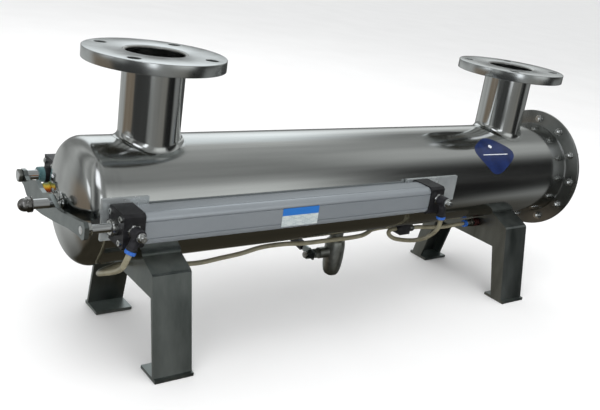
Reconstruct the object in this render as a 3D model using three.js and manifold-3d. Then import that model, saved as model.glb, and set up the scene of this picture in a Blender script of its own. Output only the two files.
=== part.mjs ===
// In-line ultraviolet steriliser with an air-driven sleeve wiper.
// Millimetres, +Z up, vessel axis along X. Built about the inlet nozzle axis,
// then moved so the origin is at the bottom centre of the rigid parts.
import * as THREE from 'three';
import { mergeVertices } from 'three/addons/utils/BufferGeometryUtils.js';
import Module from 'manifold-3d';

const wasm = await Module();
wasm.setup();

// ---------- driving dimensions ----------
const VESSEL_R = 92, VESSEL_WALL = 3, SHELL_X0 = -70, SHELL_X1 = 897.8;
const HEAD_TAN_X = -90, HEAD_KNUCKLE = 26, HEAD_DEPTH = 38;
const NOZZLE_SPACING = 760, PIPE_R = 44.5, PIPE_BORE_R = 41.5;
const FLANGE_R = 100.5, FLANGE_T = 16.5, FLANGE_TOP_Z = 213.6, FLANGE_PCD_R = 81.5, FLANGE_HOLE_R = 9;
const END_X = 892, END_R = 121.2, END_T = 6, GASKET_T = 1.4, GASKET_R = 101, BOLT_PCD_R = 106, BOLT_N = 12, BOLT_R = 4, BOLT_HOLE_R = 4.6;
const GAP = 0.3;                         // assembly clearance between separate pieces
const FLOOR_Z = -236.4, SHEET = 5, SADDLE_W = 62;
const AIR_Y = -120, AIR_Z = 7, CAP_S = 48, BARREL_S = 45, AIR_BORE_R = 16;
const CAP_F0 = -94, CAP_F1 = -64, CAP_R0 = 452, CAP_R1 = 482;
const PISTON_ROD_R = 6, WIPER_ROD_R = 7, GUIDE_ROD_R = 7.5, GUIDE_Y = 118, GUIDE_Z = 1, GUIDE_X0 = -100;
const YOKE_X0 = -141, YOKE_X1 = -135;
const SLEEVE_Y = 38, SLEEVE_R = 12, SLEEVE_BORE_R = 10.5, LAMP_R = 8;
const SLEEVE_X0 = -104, SLEEVE_X1 = 920, LAMP_X0 = 30, LAMP_X1 = 873;
const WIPER_NEAR_X = 371, WIPER_FAR_X = 841, WIPER_T = 8;
const DRAIN_X = 386, BALL_Z = -135, HOSE_R = 4;

// ---------- helpers ----------
const V = (x, y, z) => new THREE.Vector3(x, y, z);
function solid(geo) {
  const g0 = geo.index ? geo.toNonIndexed() : geo.clone();
  g0.deleteAttribute('normal'); g0.deleteAttribute('uv');
  const g = mergeVertices(g0, 1e-4);
  const pos = g.attributes.position.array, idx = g.index.array, tris = [];
  for (let i = 0; i < idx.length; i += 3) {
    const [a, b, c] = [idx[i], idx[i + 1], idx[i + 2]];
    if (a !== b && b !== c && a !== c) tris.push(a, b, c);
  }
  return new wasm.Manifold(new wasm.Mesh({ numProp: 3, vertProperties: new Float32Array(pos), triVerts: new Uint32Array(tris) }));
}
const add = (...s) => s.reduce((a, b) => a.add(b));
const cut = (a, ...s) => s.reduce((m, b) => m.subtract(b), a);
// local Z of a lathe or extrusion turned onto world X, Y or Z
function turn(geo, axis) {
  if (axis === 'x') geo.applyMatrix4(new THREE.Matrix4().makeBasis(V(0, 1, 0), V(0, 0, 1), V(1, 0, 0)));
  if (axis === 'y') geo.applyMatrix4(new THREE.Matrix4().makeBasis(V(0, 0, 1), V(1, 0, 0), V(0, 1, 0)));
  return geo;
}
// closed profile [[r, h], ...] spun about the axis, h along the axis
function spin(axis, prof, c = [0, 0, 0], seg = 32) {
  const pts = prof.map(([r, h]) => new THREE.Vector2(r, h));
  if (prof[0][0] > 1e-9 || prof[prof.length - 1][0] > 1e-9) pts.push(pts[0].clone());
  let area = 0;
  for (let i = 0; i < pts.length; i++) { const p = pts[i], q = pts[(i + 1) % pts.length]; area += p.x * q.y - q.x * p.y; }
  if (area < 0) pts.reverse();
  const g = new THREE.LatheGeometry(pts, seg);
  g.applyMatrix4(new THREE.Matrix4().makeBasis(V(1, 0, 0), V(0, 0, 1), V(0, -1, 0)));
  turn(g, axis); g.translate(...c);
  return solid(g);
}
const rod = (axis, r, h0, h1, c = [0, 0, 0], seg = 32) => spin(axis, [[0, h0], [r, h0], [r, h1], [0, h1]], c, seg);
const ring = (axis, r0, r1, h0, h1, c = [0, 0, 0], seg = 32) => spin(axis, [[r0, h0], [r1, h0], [r1, h1], [r0, h1]], c, seg);
const hex = (axis, r, h0, h1, c = [0, 0, 0]) => rod(axis, r, h0, h1, c, 6);
function block(x0, x1, y0, y1, z0, z1) {
  const g = new THREE.BoxGeometry(x1 - x0, y1 - y0, z1 - z0);
  g.translate((x0 + x1) / 2, (y0 + y1) / 2, (z0 + z1) / 2);
  return solid(g);
}
// outline [[u, v], ...] pushed along an axis from h0 to h1: x -> (y, z), y -> (z, x), z -> (x, y)
function plate(axis, pts, h0, h1) {
  const s = new THREE.Shape(pts.map(([u, v]) => new THREE.Vector2(u, v)));
  const g = new THREE.ExtrudeGeometry(s, { depth: h1 - h0, bevelEnabled: false, curveSegments: 8 });
  g.translate(0, 0, h0);
  return solid(turn(g, axis));
}
// cylinder or cone between two points, profile [[r, distance], ...]
function along(p, d, prof, seg = 20) {
  const pts = prof.map(([r, h]) => new THREE.Vector2(r, h));
  if (prof[0][0] > 1e-9) pts.push(pts[0].clone());
  const g = new THREE.LatheGeometry(pts, seg);
  g.applyMatrix4(new THREE.Matrix4().makeRotationFromQuaternion(new THREE.Quaternion().setFromUnitVectors(V(0, 1, 0), d.clone().normalize())));
  g.translate(p.x, p.y, p.z);
  return solid(g);
}
function hose(points, r, steps) {
  const curve = new THREE.CatmullRomCurve3(points.map(p => V(...p)), false, 'centripetal');
  const s = new THREE.Shape();
  s.absarc(0, 0, r, 0, Math.PI * 2, false);
  return solid(new THREE.ExtrudeGeometry(s, { extrudePath: curve, steps, bevelEnabled: false, curveSegments: 4 }));
}
const vesselCut = () => rod('x', VESSEL_R + GAP, -400, 1200, [0, 0, 0], 40);

const nodes = [];
function node(name, m, color, roughness, metalness, opacity = 1) {
  const mesh = m.getMesh();
  const g = new THREE.BufferGeometry();
  g.setAttribute('position', new THREE.BufferAttribute(Float32Array.from(mesh.vertProperties), 3));
  g.setIndex(new THREE.BufferAttribute(Uint32Array.from(mesh.triVerts), 1));
  const mat = new THREE.MeshStandardMaterial({ color, roughness, metalness, opacity, transparent: opacity < 1 });
  const o = new THREE.Mesh(g, mat); o.name = name; nodes.push(o);
}
const STEEL = 0xc4c8c8, DULL = 0x5d6468, BLACK = 0x17191b, ALU = 0xa9adb0, CHROME = 0xdadddd, BRASS = 0xb08a48;

// ---------- vessel ----------
{
  let shell = ring('x', VESSEL_R - VESSEL_WALL, VESSEL_R, SHELL_X0 + 0.15, SHELL_X1, [0, 0, 0], 40);
  shell = cut(shell, rod('z', PIPE_BORE_R, 40, 140, [0, 0, 0], 28), rod('z', PIPE_BORE_R, 40, 140, [NOZZLE_SPACING, 0, 0], 28), rod('z', 8, -140, -40, [DRAIN_X, 0, 0], 12));
  node('vessel_shell', shell, STEEL, 0.12, 1);
}
let headOutline;
{ // torispherical head
  const outline = (off) => {
    const R = VESSEL_R - off, rk = HEAD_KNUCKLE - off, h = HEAD_DEPTH - off, a = R - rk;
    const Rc = (h * h - rk * rk + a * a) / (2 * (h - rk)), ang = Math.asin(a / (Rc - rk)), p = [];
    for (let i = 0; i <= 3; i++) { const t = (Math.PI / 2 - ang) * i / 3; p.push([a + rk * Math.cos(t), HEAD_TAN_X - rk * Math.sin(t)]); }
    for (let i = 1; i <= 2; i++) { const t = ang * (1 - i / 2); p.push([Rc * Math.sin(t), HEAD_TAN_X - h + Rc - Rc * Math.cos(t)]); }
    p[p.length - 1][0] = 0;
    return p;
  };
  headOutline = outline;
  const outer = outline(0), inner = outline(VESSEL_WALL).reverse(), x1 = SHELL_X0 - 0.15;
  let head = spin('x', [...inner, [VESSEL_R - VESSEL_WALL, x1], [VESSEL_R, x1], ...outer], [0, 0, 0], 40);
  head = cut(head, rod('x', 14.3, -200, -80, [0, 0, 0], 20));
  node('dished_head', head, STEEL, 0.12, 1);
}
// nozzle pipe with a blended weld fillet that follows the saddle line on the vessel
function nozzle(xc) {
  const N = 28, F = 9, top = FLANGE_TOP_Z - 3.5, zs = (y) => Math.sqrt((VESSEL_R + GAP) ** 2 - y * y), rows = [];
  for (let i = 0; i < N; i++) {
    const a = 2 * Math.PI * i / N, c = Math.cos(a), s = Math.sin(a), p = [];
    const at = (r, z) => p.push([r * c, r * s, z]);
    const zf = zs((PIPE_R + F) * s), z1 = zs(PIPE_R * s) + F;
    at(PIPE_BORE_R, top); at(PIPE_R, top); at(PIPE_R, z1);
    for (let k = 1; k <= 2; k++) {
      const t = k / 3 * Math.PI / 2, r = PIPE_R + F * (1 - Math.cos(t));
      at(r, z1 + (zf - z1) * Math.sin(t));
    }
    at(PIPE_R + F, zf + 0.4); at(PIPE_R + F, zf); at(PIPE_R, zs(PIPE_R * s)); at(PIPE_BORE_R, zs(PIPE_BORE_R * s));
    rows.push(p);
  }
  const K = rows[0].length, pos = [], idx = [];
  rows.forEach(p => p.forEach(q => pos.push(q[0] + xc, q[1], q[2])));
  for (let i = 0; i < N; i++) for (let k = 0; k < K; k++) {
    const a = i * K + k, b = i * K + (k + 1) % K, c = ((i + 1) % N) * K + k, d = ((i + 1) % N) * K + (k + 1) % K;
    idx.push(a, b, c, b, d, c);
  }
  const g = new THREE.BufferGeometry();
  g.setAttribute('position', new THREE.Float32BufferAttribute(pos, 3)); g.setIndex(idx);
  return solid(g);
}
for (const [name, xc] of [['inlet', 0], ['outlet', NOZZLE_SPACING]]) {
  node(name + '_nozzle', nozzle(xc), STEEL, 0.12, 1);
  const zb = FLANGE_TOP_Z - FLANGE_T, c = 1.2;
  let f = spin('z', [[PIPE_R + GAP, zb], [FLANGE_R, zb], [FLANGE_R, FLANGE_TOP_Z - c], [FLANGE_R - c, FLANGE_TOP_Z], [PIPE_R + GAP, FLANGE_TOP_Z]], [xc, 0, 0], 40);
  for (let i = 0; i < 4; i++) { const a = Math.PI / 4 + i * Math.PI / 2; f = cut(f, rod('z', FLANGE_HOLE_R, zb - 5, FLANGE_TOP_Z + 5, [xc + FLANGE_PCD_R * Math.cos(a), FLANGE_PCD_R * Math.sin(a), 0], 12)); }
  node(name + '_flange', f, STEEL, 0.14, 1);
}

// ---------- bolted end ----------
const GASKET_X = END_X + END_T + 0.2, COVER_X = GASKET_X + GASKET_T + 0.2, COVER_X1 = COVER_X + END_T;
{
  let fl = ring('x', VESSEL_R + GAP, END_R, END_X, END_X + END_T, [0, 0, 0], 40);
  const ga = ring('x', 80, GASKET_R, GASKET_X, GASKET_X + GASKET_T, [0, 0, 0], 40);
  let co = rod('x', END_R, COVER_X, COVER_X1, [0, 0, 0], 40);
  for (const s of [1, -1]) {
    co = add(co, rod('x', 17, COVER_X1 - 1, COVER_X1 + 10, [0, s * SLEEVE_Y, 0], 20));
    co = cut(co, rod('x', SLEEVE_R + GAP, COVER_X - 5, COVER_X1 + 20, [0, s * SLEEVE_Y, 0], 20));
  }
  for (let i = 0; i < BOLT_N; i++) {
    const a = 2 * Math.PI * i / BOLT_N, h = () => rod('x', BOLT_HOLE_R, END_X - 10, COVER_X1 + 10, [0, BOLT_PCD_R * Math.cos(a), BOLT_PCD_R * Math.sin(a)], 8);
    fl = cut(fl, h()); co = cut(co, h());
  }
  node('end_flange', fl, 0x8e9496, 0.2, 1);
  node('end_gasket', ga, 0x2a2c2e, 0.85, 0);
  node('end_cover', co, STEEL, 0.16, 1);
  for (let i = 0; i < BOLT_N; i++) {
    const a = 2 * Math.PI * i / BOLT_N, c = [0, BOLT_PCD_R * Math.cos(a), BOLT_PCD_R * Math.sin(a)];
    const b = add(rod('x', BOLT_R, END_X - 11, COVER_X1 + 2, c, 8), hex('x', 7.4, END_X - 7, END_X - GAP, c), hex('x', 7.4, COVER_X1 + GAP, COVER_X1 + 5.6, c));
    node('end_bolt_' + String(i + 1).padStart(2, '0'), b, CHROME, 0.25, 1);
  }
}

// ---------- lamps ----------
for (const [tag, s] of [['a', -1], ['b', 1]]) {
  const c = [0, s * SLEEVE_Y, 0], r = SLEEVE_R, q = SLEEVE_BORE_R, o = [], n = [];
  for (let i = 0; i <= 3; i++) { const t = Math.PI / 2 * i / 3; o.push([r * Math.cos(t), SLEEVE_X0 + r - r * Math.sin(t)]); n.push([q * Math.cos(t), SLEEVE_X0 + r - q * Math.sin(t)]); }
  o[3][0] = 0; n[3][0] = 0;
  node('quartz_sleeve_' + tag, spin('x', [...n.slice().reverse(), [q, SLEEVE_X1], [r, SLEEVE_X1], ...o], c, 20), 0xdfeef2, 0.05, 0, 0.35);
  node('uv_lamp_' + tag, spin('x', [[0, LAMP_X0 - 8], [1.4, LAMP_X0 - 8], [1.4, LAMP_X0], [10.1, LAMP_X0], [10.1, LAMP_X0 + 7], [LAMP_R, LAMP_X0 + 7], [LAMP_R, LAMP_X1 - 7], [10.1, LAMP_X1 - 7], [10.1, LAMP_X1], [1.4, LAMP_X1], [1.4, LAMP_X1 + 8], [0, LAMP_X1 + 8]], c, 14), 0xf1f4f4, 0.3, 0);
  node('lamp_gland_' + tag, spin('x', [[17 + GAP, COVER_X1 + 1], [21, COVER_X1 + 1], [21, COVER_X1 + 16], [18, COVER_X1 + 19], [4.5, COVER_X1 + 19], [4.5, COVER_X1 + 14.5], [17 + GAP, COVER_X1 + 14.5]], c, 20), BLACK, 0.5, 0);
}

// ---------- wiper drive ----------
node('wiper_gland', spin('x', [[WIPER_ROD_R + GAP, -133.4], [18, -133.4], [19, -132.4], [19, -128.4], [14, -128.4], [14, -106], [WIPER_ROD_R + GAP, -106]], [0, 0, 0], 20), CHROME, 0.2, 1);
node('wiper_rod', spin('x', [[0, -172.5], [WIPER_ROD_R - 0.8, -172.5], [WIPER_ROD_R, -171.7], [WIPER_ROD_R, WIPER_FAR_X + WIPER_T + 8], [0, WIPER_FAR_X + WIPER_T + 8]], [0, 0, 0], 16), CHROME, 0.1, 1);
{
  let n = add(hex('x', 10.4, -173, -165), spin('x', [[0, -182.5], [3.5, -181.8], [6.4, -179.6], [8.2, -176.4], [8.8, -173], [8.8, -170], [0, -170]], [0, 0, 0], 16));
  node('dome_nut', cut(n, rod('x', WIPER_ROD_R + GAP, -172.8, -160, [0, 0, 0], 16)), 0x8f9392, 0.3, 1);
}
{ // lead gland beside the wiper gland, its foot shaped to the head
  const g = spin('x', [[0, -134], [5.5, -134], [7, -132], [7, -124], [8.5, -124], [8.5, -100], [0, -100]], [0, 48, 5], 16);
  const grown = headOutline(-GAP);
  node('lead_gland', cut(g, spin('x', [[0, -60], [VESSEL_R + GAP, -60], ...grown], [0, 0, 0], 40)), 0xc8452a, 0.45, 0);
}
for (const [name, x] of [['near', WIPER_NEAR_X], ['far', WIPER_FAR_X]]) {
  let w = add(rod('x', 19, x, x + WIPER_T, [0, -SLEEVE_Y, 0], 20), rod('x', 19, x, x + WIPER_T, [0, SLEEVE_Y, 0], 20), block(x, x + WIPER_T, -SLEEVE_Y, SLEEVE_Y, -12, 12), rod('x', 13, x, x + WIPER_T + 6, [0, 0, 0], 16));
  w = cut(w, rod('x', SLEEVE_R + GAP, x - 5, x + 30, [0, -SLEEVE_Y, 0], 20), rod('x', SLEEVE_R + GAP, x - 5, x + 30, [0, SLEEVE_Y, 0], 20), rod('x', WIPER_ROD_R + GAP, x - 5, x + 30, [0, 0, 0], 16));
  node('wiper_plate_' + name, w, 0xe8e6dc, 0.6, 0);
}
{ // yoke bar, deep at the middle, tapering to both ends
  const pts = [[-133, 0], [-127, -4], [-112, -3], [-72, -8], [-28, -17], [26, -26], [62, -29.5], [95, -21], [108, -12], [124, -8], [129, 1], [123, 10], [112, 10.5], [104, 4], [96, 1], [54, 14.5], [38, 8.5], [24, 6.5], [12, 11], [0, 13], [-12, 9.5], [-30, 4.5], [-46, 5], [-82, 11.5], [-114, 17.5], [-128, 21], [-134, 15]];
  const y = cut(plate('x', pts, YOKE_X0, YOKE_X1), rod('x', PISTON_ROD_R + GAP, -160, -120, [0, AIR_Y, AIR_Z], 16), rod('x', WIPER_ROD_R + GAP, -160, -120, [0, 0, 0], 16), rod('x', GUIDE_ROD_R + GAP, -160, -120, [0, GUIDE_Y, GUIDE_Z], 16));
  node('yoke_plate', y, 0x9ea3a4, 0.22, 1);
}
node('rod_nut', cut(hex('x', 10, YOKE_X1 + GAP, YOKE_X1 + 7.3, [0, AIR_Y, AIR_Z]), rod('x', PISTON_ROD_R + GAP, -140, -100, [0, AIR_Y, AIR_Z], 16)), CHROME, 0.25, 1);
node('guide_rod', spin('x', [[0, -147.5], [GUIDE_ROD_R - 1, -147.5], [GUIDE_ROD_R, -146.5], [GUIDE_ROD_R, 425], [0, 425]], [0, GUIDE_Y, GUIDE_Z], 16), CHROME, 0.12, 1);
node('guide_nut', cut(hex('x', 10.6, -147, YOKE_X0 - GAP, [0, GUIDE_Y, GUIDE_Z]), rod('x', GUIDE_ROD_R + GAP, -160, -130, [0, GUIDE_Y, GUIDE_Z], 16)), 0x2f3329, 0.55, 0.6);
{
  let g = add(block(GUIDE_X0, GUIDE_X0 + 70, 90, GUIDE_Y + 24, GUIDE_Z - 24, GUIDE_Z + 24), rod('x', 11.5, -118, GUIDE_X0 + 1, [0, GUIDE_Y, GUIDE_Z], 16));
  for (const [u, v] of [[-16, -16], [-16, 16], [16, -16], [16, 16]]) g = add(g, rod('x', 4.2, GUIDE_X0 - 3, GUIDE_X0 + 1, [0, GUIDE_Y + u, GUIDE_Z + v], 8));
  node('guide_block', cut(g, vesselCut(), rod('x', GUIDE_ROD_R + GAP, -150, 20, [0, GUIDE_Y, GUIDE_Z], 16)), BLACK, 0.45, 0.2);
}

// ---------- air cylinder ----------
{ // extruded barrel with four round corner lobes and shallow channels between
  const h = BARREL_S / 2, L = 8.2, k = h - L, pts = [];
  for (const [sy, sz, a0] of [[1, 1, -50], [-1, 1, 40], [-1, -1, 130], [1, -1, 220]])
    for (let i = 0; i <= 4; i++) { const a = (a0 + 190 * i / 4) * Math.PI / 180; pts.push([AIR_Y + sy * k + L * Math.cos(a), AIR_Z + sz * k + L * Math.sin(a)]); }
  node('cylinder_barrel', cut(plate('x', pts, CAP_F1 + GAP, CAP_R0 - GAP), rod('x', AIR_BORE_R, CAP_F1 - 5, CAP_R0 + 5, [0, AIR_Y, AIR_Z], 20)), ALU, 0.35, 0.9);
}
const FC_FX = -80, FC_FZ = 9, FC_RX = 468, FC_RZ = 11, FACE_Y = AIR_Y - CAP_S / 2;
function cap(x0, x1, front, px, pz) {
  const h = CAP_S / 2, c = 4;
  const o = [[AIR_Y - h + c, AIR_Z - h], [AIR_Y + h - c, AIR_Z - h], [AIR_Y + h, AIR_Z - h + c], [AIR_Y + h, AIR_Z + h - c], [AIR_Y + h - c, AIR_Z + h], [AIR_Y - h + c, AIR_Z + h], [AIR_Y - h, AIR_Z + h - c], [AIR_Y - h, AIR_Z - h + c]];
  let m = plate('x', o, x0, x1);
  const out = front ? x0 : x1, s = front ? -1 : 1;
  for (const [u, v] of [[-16, -16], [-16, 16], [16, -16], [16, 16]]) m = add(m, rod('x', 4.2, Math.min(out, out + s * 2.6) - (front ? 0 : 1), Math.max(out, out + s * 2.6) + (front ? 1 : 0), [0, AIR_Y + u, AIR_Z + v], 8));
  if (front) m = cut(add(m, rod('x', 11, x0 - 9, x0 + 1, [0, AIR_Y, AIR_Z], 16)), rod('x', PISTON_ROD_R + GAP, x0 - 20, x1 + 5, [0, AIR_Y, AIR_Z], 16));
  return cut(m, rod('y', 5, FACE_Y - 2, FACE_Y + 10, [px, 0, pz], 12));
}
node('front_cap', cap(CAP_F0, CAP_F1, true, FC_FX, FC_FZ), BLACK, 0.4, 0.3);
node('rear_cap', cap(CAP_R0, CAP_R1, false, FC_RX, FC_RZ), BLACK, 0.4, 0.3);
node('piston_rod', spin('x', [[0, YOKE_X0 - 0.2], [PISTON_ROD_R, YOKE_X0 - 0.2], [PISTON_ROD_R, 424], [AIR_BORE_R - GAP, 424], [AIR_BORE_R - GAP, 446], [0, 446]], [0, AIR_Y, AIR_Z], 16), CHROME, 0.1, 1);
node('bracket_front', cut(block(-104, -38, AIR_Y + CAP_S / 2 + GAP, -90, -22, 36), vesselCut()), STEEL, 0.2, 1);
node('bracket_rear', cut(block(440, 563, AIR_Y + CAP_S / 2 + GAP, -90, -15, 30), vesselCut()), STEEL, 0.2, 1);

// ---------- elbow flow controls ----------
function flowControl(px, pz, dir, len) {
  const c = [px, 0, pz];
  const leg = along(V(px, FACE_Y - 13, pz), dir, [[0, 0], [6.8, 0], [6.8, len - 6], [7.6, len - 6], [7.6, len - 1.2], [6.4, len], [0, len]], 12);
  let m = add(rod('y', 4.4, FACE_Y - 2, FACE_Y + 8, c, 12), hex('y', 10.2, FACE_Y - 5, FACE_Y - GAP, c), rod('y', 8.6, FACE_Y - 21, FACE_Y - 4, c, 16), leg);
  return cut(m, rod('y', 3.4, FACE_Y - 25, FACE_Y - 13.5, c, 12));
}
function adjuster(px, pz) {
  return spin('y', [[0, FACE_Y - 14], [3, FACE_Y - 14], [3, FACE_Y - 21.3], [6.2, FACE_Y - 21.3], [6.2, FACE_Y - 25], [4.4, FACE_Y - 25.8], [4.4, FACE_Y - 32], [0, FACE_Y - 32]], [px, 0, pz], 12);
}
const DIR_F = V(-0.36, 0, -0.93).normalize(), DIR_R = V(0.12, 0, -0.993).normalize();
node('flow_control_front', flowControl(FC_FX, FC_FZ, DIR_F, 27), BLACK, 0.45, 0.1);
node('flow_control_rear', flowControl(FC_RX, FC_RZ, DIR_R, 32), BLACK, 0.45, 0.1);
node('adjuster_front', adjuster(FC_FX, FC_FZ), CHROME, 0.3, 1);
node('adjuster_rear', adjuster(FC_RX, FC_RZ), CHROME, 0.3, 1);

// ---------- air valve, bulkhead and hoses ----------
{
  const nose = (x0, x1, y, z) => rod('x', 6, x0, x1, [0, y, z], 12);
  let m = add(block(532, 557, -14, 10, -115, -97), rod('z', 4, -98, -85, [545, -3, 0], 12), nose(524, 533, -8.5, -103), nose(524, 533, 4.5, -103), nose(556, 572, -4, -107));
  node('air_valve', cut(m, vesselCut()), BLACK, 0.5, 0.1);
  node('bulkhead_fitting', add(rod('x', 6, 690.5, 698, [0, -27, -101], 12), rod('x', 7.2, 697, 710, [0, -27, -101], 12), hex('x', 8.4, 709, 717, [0, -27, -101]), rod('x', 8.2, 716, 730.2, [0, -27, -101], 12), rod('x', 5.9, 730, 745, [0, -27, -101], 12), hex('x', 8.4, 736, 742, [0, -27, -101])), BRASS, 0.35, 0.9);
}
const legEnd = (px, pz, d, len) => V(px, FACE_Y - 13, pz).addScaledVector(d, len).toArray();
const HOSE_FRONT = [legEnd(FC_FX, FC_FZ, DIR_F, 27.4), legEnd(FC_FX, FC_FZ, DIR_F, 33), [-94, -152, -34], [-92, -141, -43], [-90, -124, -54], [-89.5, -104, -65], [-90, -85, -74.5], [-88, -66, -84], [-82, -48, -92.5], [-70, -28, -100], [-50, -10, -105], [-24.4, 0, -106], [10, 0, -110], [45, 0, -116], [82, -2, -120], [109, -2, -121], [144, -2, -118], [183, -2, -114.5], [222, -3, -107.5], [262, -10, -103.5], [300, -22, -101], [340, -32, -96.5], [386, -35, -95.5], [420, -29, -97], [448, -14, -100], [470, 0, -102.5], [500, 4.5, -103], [523.6, 4.5, -103]];
const HOSE_REAR = [legEnd(FC_RX, FC_RZ, DIR_R, 32.4), legEnd(FC_RX, FC_RZ, DIR_R, 38), [480, -149, -41], [490, -134, -56], [501, -116, -70], [511, -97, -84], [519, -77, -96], [525, -58, -106.5], [525, -42, -113], [521, -28, -117], [514, -18, -117.5], [508, -12, -114], [505.5, -9.3, -108.5], [508.5, -8.5, -104.1], [515, -8.5, -103], [523.6, -8.5, -103]];
const HOSE_SUPPLY = [[572.4, -4, -107], [586, -4, -107.2], [612, -8, -108.5], [645, -20, -106], [676, -26.6, -101.4], [690.1, -27, -101]];
node('hose_front', hose(HOSE_FRONT, HOSE_R, 62), 0x6c6a4a, 0.4, 0);
node('hose_rear', hose(HOSE_REAR, HOSE_R, 36), 0x6c6a4a, 0.4, 0);
node('hose_supply', hose(HOSE_SUPPLY, HOSE_R, 12), 0x6c6a4a, 0.4, 0);

// ---------- drain valve ----------
node('drain_neck', cut(ring('z', 8, 12, -112, -80, [DRAIN_X, 0, 0], 16), vesselCut()), STEEL, 0.2, 1);
{
  const c = [DRAIN_X, 0, 0];
  let b = spin('z', [[0, -181.5], [7, -181.5], [12, -178], [15.2, -171], [17.2, -162], [18, -150], [18.2, -135], [17.5, -116], [15.5, -112.3], [0, -112.3]], c, 12);
  b = add(b, rod('x', 10, DRAIN_X - 37, DRAIN_X - 10, [0, 0, BALL_Z], 16), hex('x', 9.4, DRAIN_X - 46, DRAIN_X - 36, [0, 0, BALL_Z]), block(DRAIN_X - 40, DRAIN_X - 37.4, -2.6, 2.6, -128, BALL_Z + 15));
  const ballRoom = [[0, -14.3], [8.2, -11.7], [13, -5.9], [14.3, 0], [13, 5.9], [8.2, 11.7], [0, 14.3]];
  b = cut(b, spin('z', ballRoom, [DRAIN_X, 0, BALL_Z], 16), rod('z', 7.8, -146, -100, c, 12), rod('z', 5, -200, -140, c, 12), rod('x', 4.3, DRAIN_X - 60, DRAIN_X, [0, 0, BALL_Z], 12));
  node('drain_valve_body', b, 0x4a4f50, 0.4, 0.8);
  const ball = spin('z', ballRoom.map(([r, z]) => [r * 0.93, z * 0.93]), [DRAIN_X, 0, BALL_Z], 16);
  node('drain_ball', cut(add(ball, rod('x', 4, DRAIN_X - 66, DRAIN_X - 11, [0, 0, BALL_Z], 12)), rod('y', 6.5, -30, 30, [DRAIN_X, 0, BALL_Z], 12)), CHROME, 0.2, 1);
  const x0 = DRAIN_X - 54, x1 = DRAIN_X - 50.4, t = 9 * Math.PI / 180, P = (l, w) => [l * Math.cos(t) - w * Math.sin(t), BALL_Z + l * Math.sin(t) + w * Math.cos(t)];
  let lever = add(plate('x', [P(-9, -7), P(8, -8), P(24, -5.5), P(84, -5.5), P(84, 5.5), P(24, 5.5), P(8, 8), P(-9, 7)], x0, x1), hex('x', 9, x0 - 8, x0 + 0.5, [0, 0, BALL_Z]));
  node('drain_lever', cut(lever, rod('x', 4 + GAP, x0 - 20, x1 + 5, [0, 0, BALL_Z], 12)), 0x7d8284, 0.35, 0.9);
  const g = cut(plate('x', [P(27, -7.6), P(86, -7.6), P(88, -5), P(88, 5), P(86, 7.6), P(27, 7.6)], x0 - 2.6, x1 + 2.6), plate('x', [P(20, -5.8), P(84.3, -5.8), P(84.3, 5.8), P(20, 5.8)], x0 - GAP, x1 + GAP));
  node('lever_grip', g, BLACK, 0.6, 0);
}

// ---------- saddles ----------
function saddle(x0, bendY, bendZ, webZ, footY, flanges, hole) {
  const x1 = x0 + SADDLE_W, padTop = FLOOR_Z + SHEET, t = SHEET;
  const dy = footY - bendY, dz = padTop - bendZ, L = Math.hypot(dy, dz), ny = -dz / L, nz = dy / L;
  let m = null;
  for (const s of [-1, 1]) {
    const strip = [[s * 58, -67.5], [s * (bendY - 3), bendZ + 1.4], [s * bendY, bendZ - 1.5], [s * footY, padTop - 1], [s * (footY - t * 1.02), padTop - 1], [s * (bendY - t * 1.25), bendZ - t * 0.9], [s * 58, -72.8]];
    const pad = block(x0, x1, Math.min(s * 86.7, s * 134.9), Math.max(s * 86.7, s * 134.9), FLOOR_Z, padTop);
    let part = add(plate('x', s < 0 ? strip : strip.slice().reverse(), x0, x1), pad);
    if (flanges) for (const fx of [x0, x1 - t]) {
      const f = [[s * (bendY - 1), bendZ - 2], [s * (footY - 0.5), padTop - 1], [s * (footY - 26), padTop - 1], [s * (bendY - 24), webZ + 2], [s * (bendY - 26), bendZ + 6]];
      part = add(part, plate('x', s < 0 ? f : f.slice().reverse(), fx, fx + t));
    }
    m = m ? add(m, part) : part;
  }
  const at = (z) => bendY + (footY - bendY) * (z - bendZ) / (padTop - bendZ) - 1;
  m = add(m, plate('x', [[-at(webZ), webZ], [at(webZ), webZ], [bendY - 1, bendZ - 1], [56, -67.5], [-56, -67.5], [-bendY + 1, bendZ - 1]], x0, x0 + t));
  return cut(m, vesselCut(), rod('x', hole[2], x0 - 5, x0 + t + 5, [0, hole[0], hole[1]], 12));
}
node('saddle_left', saddle(-24.4, 98, -83, -117, 129, false, [0, -106, 6]), DULL, 0.38, 0.85);
node('saddle_right', saddle(730.5, 102, -87.5, -134, 129, true, [-27, -101, 6.3]), DULL, 0.38, 0.85);

// ---------- place on the library frame ----------
const cords = new Set(['hose_front', 'hose_rear', 'hose_supply']);
const box = new THREE.Box3();
for (const o of nodes) if (!cords.has(o.name)) { o.geometry.computeBoundingBox(); box.union(o.geometry.boundingBox); }
const shift = V(-(box.min.x + box.max.x) / 2, -(box.min.y + box.max.y) / 2, -box.min.z);
const group = new THREE.Group();
for (const o of nodes) { o.geometry.translate(shift.x, shift.y, shift.z); group.add(o); }
export default group;
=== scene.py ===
import math
import bpy, bmesh
from mathutils import Vector, Matrix


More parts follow.
